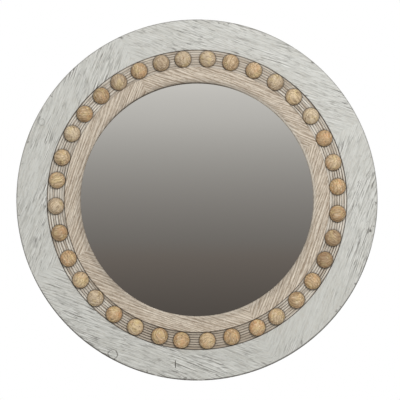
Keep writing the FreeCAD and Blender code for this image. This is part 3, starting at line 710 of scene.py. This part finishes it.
def board_section():
    """Section of the ring, from the rim across the front, down the inside and back to the rim."""
    corners = [(OUTER, FRONT, RIM_ROUND), (CHANNEL_OUT, FRONT, CHANNEL_ROUND),
               (CHANNEL_OUT, CHANNEL_FLOOR, 0)]
    for reed in range(REEDS, 0, -1):
        line = CHANNEL_IN + reed * REED_PITCH
        corners += [(line + REED_WIDTH / 2, CHANNEL_FLOOR, REED_ROUND),
                    (line, CHANNEL_FLOOR + REED_DEPTH, 0),
                    (line - REED_WIDTH / 2, CHANNEL_FLOOR, REED_ROUND)]
    corners += [
        (CHANNEL_IN, CHANNEL_FLOOR, 0), (CHANNEL_IN, FRONT, CHANNEL_ROUND),
        (SIGHT + BEVEL, FRONT, 1.2 * MM), (SIGHT, FRONT + BEVEL, 1.0 * MM),
        (SIGHT, GLASS_FRONT, 0), (GLASS_REBATE, GLASS_FRONT, 0), (GLASS_REBATE, LEDGE, 0),
        (BACKING_REBATE, LEDGE, 0), (BACKING_REBATE, BACK, 0.5 * MM), (OUTER, BACK, RIM_ROUND),
    ]

    def spacing(here, following):
        on_front = here.y < CHANNEL_FLOOR - 1 * MM and following.y < CHANNEL_FLOOR - 1 * MM
        return 2 * MM if on_front else 8 * MM

    return refined(rounded(corners), spacing)


def make_board(index, name, material):
    """One quarter of the ring, its front worn along the grain."""
    section = board_section()
    steps = BOARD_STEPS
    start = SEAM + index * BOARD_ANGLE
    along = start + BOARD_ANGLE / 2
    inward = Vector((math.cos(along), 0, math.sin(along)))
    lengthwise = Vector((-math.sin(along), 0, math.cos(along)))
    shift = Vector((1.7 * index, 2.3 * index, 0.9 * index))

    seats = [bead_seat(bead) for bead in BEADS]
    points, grains, dirts = [], [], []
    for step in range(steps + 1):
        angle = start + BOARD_ANGLE * step / steps
        middle = Vector((math.cos(angle), 0, math.sin(angle))) * CHANNEL_MIDDLE
        near = min(seats, key=lambda seat: math.hypot(seat.x - middle.x, seat.z - middle.z))
        at_seam = step in (0, steps)
        ragged = noise.noise(Vector((math.cos(angle) * 22, math.sin(angle) * 22, 3.0)))
        for corner in section:
            reach = corner.x
            if corner.y < CHANNEL_FLOOR - 0.5 * MM:
                if min(abs(reach - CHANNEL_OUT), abs(reach - CHANNEL_IN)) < 1 * MM:
                    reach += 0.35 * MM * ragged
                elif reach > OUTER - 1.5 * MM:
                    reach -= 0.45 * MM * abs(ragged)
            place = Vector((reach * math.cos(angle), corner.y, reach * math.sin(angle)))
            grain = Vector((place.dot(lengthwise), place.dot(inward), place.y)) + shift
            if corner.y < FRONT + 0.3 * MM:
                brushed = abs(noise.noise(Vector((grain.x * 9, grain.y * 130, 0.0))))
                hollow = abs(noise.noise(Vector((grain.x * 12, grain.y * 20, 5.0))))
                place.y += (0.35 * brushed + 0.3 * hollow) * MM + (0.25 * MM if at_seam else 0)
            from_bead = math.hypot(near.x - place.x, near.z - place.z) - BEAD_RADIUS
            in_channel = CHANNEL_IN < corner.x < CHANNEL_OUT and corner.y < BACK - 5 * MM
            points.append(place)
            grains.append(grain)
            # Painted shade round each bead in the channel, fading with distance from it
            dirts.append(max(0, 1 - max(0, from_bead) / BEAD_SHADE_REACH) if in_channel else 0)

    size = len(section)
    faces = []
    for step in range(steps):
        for corner in range(size):
            following = (corner + 1) % size
            faces.append((step * size + corner, step * size + following,
                          (step + 1) * size + following, (step + 1) * size + corner))
    faces.append(tuple(range(size)))
    faces.append(tuple(range(steps * size, (steps + 1) * size)))
    mesh = bpy.data.meshes.new(name + "_worn")
    mesh.from_pydata(points, [], faces)
    set_attribute(mesh, "grain", grains, "FLOAT_VECTOR")
    set_attribute(mesh, "dirt", dirts)
    smooth_by_angle(mesh, 40)
    make_piece(name + "_worn", mesh, material, [name])


# Beads that stand out in the photograph
PALE_BEADS = ("bead_04", "bead_05", "bead_16", "bead_22", "bead_25", "bead_28", "bead_30")
DULL_BEADS = ("bead_03", "bead_06", "bead_09", "bead_10", "bead_15", "bead_29")
DARK_BEADS = ("bead_11", "bead_13", "bead_14", "bead_20", "bead_35", "bead_36")
DARKEST_BEAD = "bead_34"
WARM_BEADS = ("bead_01", "bead_03", "bead_21", "bead_24", "bead_27", "bead_29", "bead_30", "bead_33",
              "bead_36")
ASHEN_BEADS = ("bead_04", "bead_06", "bead_09", "bead_10", "bead_11", "bead_13", "bead_16", "bead_19",
               "bead_23")


def make_bead(name, material, chance):
    """A hand-turned split ball, a little out of round, with its own grain."""
    seat = bead_seat(name)
    rings, sides = BEAD_RINGS, BEAD_SIDES
    turn = Euler([chance.uniform(0, math.tau) for _ in range(3)]).to_matrix()
    aside = chance.uniform(0, math.tau)
    pith = Vector((math.cos(aside), math.sin(aside), 0)) * chance.uniform(1.0, 2.2) * BEAD_RADIUS
    size = chance.uniform(0.992, 1.0)
    seed = Vector((chance.uniform(0, 90), chance.uniform(0, 90), 0))
    tone = chance.uniform(0.3, 0.7)
    if name in PALE_BEADS:
        tone = 1.0
    if name in DULL_BEADS:
        tone = 0.3
    if name in DARK_BEADS:
        tone = 0.2
    if name == DARKEST_BEAD:
        tone = 0.0
    warmth = chance.uniform(0.25, 0.75)
    if name in WARM_BEADS:
        warmth = 1.0
    if name in ASHEN_BEADS:
        warmth = 0.05

    points, grains, feet = [], [], []
    for ring in range(rings + 1):
        lean = math.pi / 2 * ring / rings
        for side in range(sides if ring else 1):
            angle = math.tau * side / sides
            ray = Vector((math.sin(lean) * math.cos(angle), -math.cos(lean),
                          math.sin(lean) * math.sin(angle)))
            hollow = abs(noise.noise(ray * 1.6 + seed))
            facet = abs(noise.noise(ray * 5 + seed))
            local = ray * BEAD_RADIUS * size * (1 - 0.010 * hollow - 0.006 * facet)
            if ring == rings:
                local.y = 0
            points.append(seat + local)
            grains.append(turn @ local + pith)
            feet.append(-local.y / BEAD_RADIUS)
    faces = [(0, 1 + side, 1 + (side + 1) % sides) for side in range(sides)]
    for ring in range(rings - 1):
        low, high = 1 + ring * sides, 1 + (ring + 1) * sides
        faces += [(low + side, high + side, high + (side + 1) % sides, low + (side + 1) % sides)
                  for side in range(sides)]
    faces.append(tuple(range(1 + (rings - 1) * sides, 1 + rings * sides)))
    mesh = bpy.data.meshes.new(name + "_turned")
    mesh.from_pydata(points, [], faces)
    set_attribute(mesh, "grain", grains, "FLOAT_VECTOR")
    set_attribute(mesh, "foot", feet)
    set_attribute(mesh, "tone", [tone] * len(points))
    set_attribute(mesh, "warmth", [warmth] * len(points))
    smooth_by_angle(mesh, 50)
    make_piece(name + "_turned", mesh, material, [name])


def add_screw(shape, centre, head, tail, turn, recess):
    """A screw pointing into the back: rings (radius, rise) of its head and tail, and a cross recess."""
    sides = SCREW_SIDES
    reach, half_slot, deep = recess
    rings = []
    for index, (radius, rise) in enumerate(head + tail):
        ring = []
        for side in range(sides):
            angle = math.tau * side / sides
            across, up = radius * math.cos(angle), radius * math.sin(angle)
            in_cross = index < len(head) and radius < reach and min(abs(across), abs(up)) < half_slot
            sunk = deep * (1 - radius / reach) ** 0.3 if in_cross else 0
            spin = angle + turn
            place = (centre[0] + radius * math.cos(spin), centre[1] + rise - sunk,
                     centre[2] + radius * math.sin(spin))
            ring.append(shape.verts.new(place))
        rings.append(ring)
    for inner, outer in zip(rings, rings[1:]):
        for side in range(sides):
            following = (side + 1) % sides
            shape.faces.new((inner[side], inner[following], outer[following], outer[side]))
    shape.faces.new(rings[0])
    shape.faces.new(rings[-1])


def make_screws(name, node, centres, head, tail, recess, material):
    """All screws of one CAD node as one piece, each turned by its own amount."""
    shape = bmesh.new()
    chance = random.Random(node)
    for centre in centres:
        add_screw(shape, centre, head, tail, chance.uniform(0, math.pi), recess)
    mesh = bpy.data.meshes.new(name)
    shape.to_mesh(mesh)
    shape.free()
    smooth_by_angle(mesh, 35)
    make_piece(name, mesh, material, [node])


def back_screw_centres():
    """Heads of the screws round the back, flush with it."""
    circle = (GLASS_REBATE + BACKING_REBATE) / 2
    turns = [SEAM + (index + 0.5) * math.tau / BACK_SCREWS for index in range(BACK_SCREWS)]
    return [(circle * math.cos(turn), BACK, circle * math.sin(turn)) for turn in turns]


STRAP_FACE = BACK + 1.2 * MM
STRAP_SCREW_PITCH = 16 * MM
PAN_RISE = 2.2 * MM


def strap_screw_centres():
    """Seats of the pan heads on the two straps, from the straps' own boxes."""
    centres = []
    for side in ("left", "right"):
        low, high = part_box("hanger_strap_" + side)
        across = (low[0] + high[0]) / 2
        lower = low[2] + (high[0] - low[0]) / 2
        centres += [(across, STRAP_FACE, lower), (across, STRAP_FACE, lower + STRAP_SCREW_PITCH)]
    return centres


def fine_rings(edge, count=9):
    """Radii from near the middle of a head out to its edge."""
    return [edge * (index + 0.4) / (count + 0.4) for index in range(count)]


def pan_profile():
    """Domed pan head on a shank."""
    head, shank = 4.0 * MM, 2.0 * MM
    dome = [(radius, PAN_RISE - 0.9 * MM * (radius / head) ** 3) for radius in fine_rings(head)]
    tail = [(head, 0.9 * MM), (head, 0.0), (shank, 0.0), (shank, -13.0 * MM), (0.3 * MM, -16.0 * MM)]
    return dome, tail


def countersunk_profile():
    """Flat head that sinks to its shank in a cone."""
    head, shank = 3.5 * MM, 1.75 * MM
    flat = [(radius, 0.0) for radius in fine_rings(head)]
    return flat, [(head, 0.0), (shank, shank - head), (shank, -13.0 * MM), (0.3 * MM, -16.0 * MM)]


# The studio

def make_floor():
    """A pale disc on the ground, a metre below the mirror's centre."""
    bpy.ops.mesh.primitive_circle_add(vertices=128, radius=GROUND_RADIUS, fill_type="NGON",
                                      location=(0, 0, GROUND_LEVEL))
    floor = bpy.context.object
    floor.name = "floor"
    material, graph, shader = new_material("pale_floor", Roughness=0.9, Specular_IOR_Level=0.1)
    speckle = graph.noise(graph.position(), 60.0, 3.0)
    graph.put(shader.inputs["Base Color"],
              graph.mix(speckle, colour(0.82, 0.82, 0.81), colour(0.78, 0.78, 0.77)))
    dress(floor, material)
    floor.visible_glossy = False


def make_world():
    """White behind the mirror, and a room that goes from bright above to dark below for it to reflect."""
    world = bpy.data.worlds.new("studio")
    bpy.context.scene.world = world
    world.use_nodes = True
    graph = Graph(world.node_tree)
    world.node_tree.nodes.clear()
    direction = graph.node("ShaderNodeTexCoord").outputs["Generated"]
    height = graph.node("ShaderNodeSeparateXYZ", {0: direction}).outputs["Z"]
    level = math.sin(-CAMERA_ELEVATION)
    above = graph.math("SUBTRACT", height, level)
    growth = graph.math("EXPONENT", graph.product(above, ROOM_GROWTH))
    rise = graph.product(growth, graph.step(height, level + 0.05, level + 0.08, 1.0, 0.90), ROOM_LEVEL)
    below = graph.step(height, -0.12, -0.70, 0.05, 0.32)
    glow = graph.math("MINIMUM", graph.math("MAXIMUM", rise, below), ROOM_MOST)
    tint = graph.mix(graph.step(height, -0.1, 0.1), colour(1.10, 1.0, 0.90), colour(1.01, 1.0, 0.955))
    brown = graph.product(graph.step(height, level - 0.026, level - 0.045),
                          graph.step(height, -0.16, -0.10))
    tint = graph.mix(brown, tint, colour(1.075, 0.955, 0.85))
    room = graph.node("ShaderNodeBackground", {"Color": tint, "Strength": glow})
    white = graph.node("ShaderNodeBackground", {"Color": colour(1, 1, 1), "Strength": 1.0})
    seen = graph.node("ShaderNodeLightPath").outputs["Is Camera Ray"]
    mixed = graph.node("ShaderNodeMixShader", {0: seen, 1: room.outputs[0], 2: white.outputs[0]})
    graph.node("ShaderNodeOutputWorld", {"Surface": mixed.outputs[0]})


def make_light(name, place, size, power):
    """A soft panel aimed at the mirror's centre, kept out of reflections."""
    data = bpy.data.lights.new(name, "AREA")
    data.shape = "DISK"
    data.size = size
    data.energy = power
    light = bpy.data.objects.new(name, data)
    bpy.context.scene.collection.objects.link(light)
    light.location = place
    light.rotation_euler = (-Vector(place)).to_track_quat("-Z", "Y").to_euler()
    light.visible_glossy = False


def make_camera():
    """Frontal camera, placed so that the ring falls where the photograph has it."""
    data = bpy.data.cameras.new("camera")
    camera = bpy.data.objects.new("camera", data)
    bpy.context.scene.collection.objects.link(camera)
    wide = PHOTO_SIDE * OUTER / PHOTO_RADIUS
    data.sensor_width = SENSOR
    data.lens = SENSOR * CAMERA_DISTANCE / wide
    data.shift_x = (PHOTO_SIDE / 2 - PHOTO_CENTRE[0]) / PHOTO_SIDE
    data.shift_y = (PHOTO_CENTRE[1] - PHOTO_SIDE / 2) / PHOTO_SIDE
    data.clip_end = 100
    away = Vector((0, -math.cos(CAMERA_ELEVATION), math.sin(CAMERA_ELEVATION)))
    camera.location = Vector((0, FRONT, 0)) + away * CAMERA_DISTANCE
    camera.rotation_euler = (-away).to_track_quat("-Z", "Y").to_euler()
    bpy.context.scene.camera = camera


def build():
    """Make the boards, beads and screw heads, and dress the CAD pieces that are kept."""
    wood = board_wood()
    for index, name in enumerate(BOARDS):
        make_board(index, name, wood)
    beads = bead_wood()
    chance = random.Random(36)
    for name in BEADS:
        make_bead(name, beads, chance)
    steel = zinc_steel()
    rubber = black_rubber()
    make_screws("back_screw_heads", "backing_screws", back_screw_centres(), *countersunk_profile(),
                (2.3 * MM, 0.55 * MM, 1.2 * MM), steel)
    make_screws("strap_screw_heads", "hanger_screws", strap_screw_centres(), *pan_profile(),
                (2.6 * MM, 0.6 * MM, 1.4 * MM), steel)
    for side in ("left", "right"):
        dress(nodes["hanger_strap_" + side], steel)
        dress(nodes["hanger_ring_" + side], steel)
        dress(nodes["bumper_" + side], rubber)
    dress(nodes["mirror_glass"], silvered_glass())
    dress(nodes["backing_board"], fibreboard())
    dress(nodes["cardboard_liner"], corrugated_card())
    dress(nodes["joint_dowels"], dowel_wood())


build()
make_floor()
make_world()
for light_name, (light_place, light_size, light_power) in LIGHTS.items():
    make_light(light_name, light_place, light_size, light_power)
make_camera()
bpy.context.scene.view_settings.view_transform = "Standard"
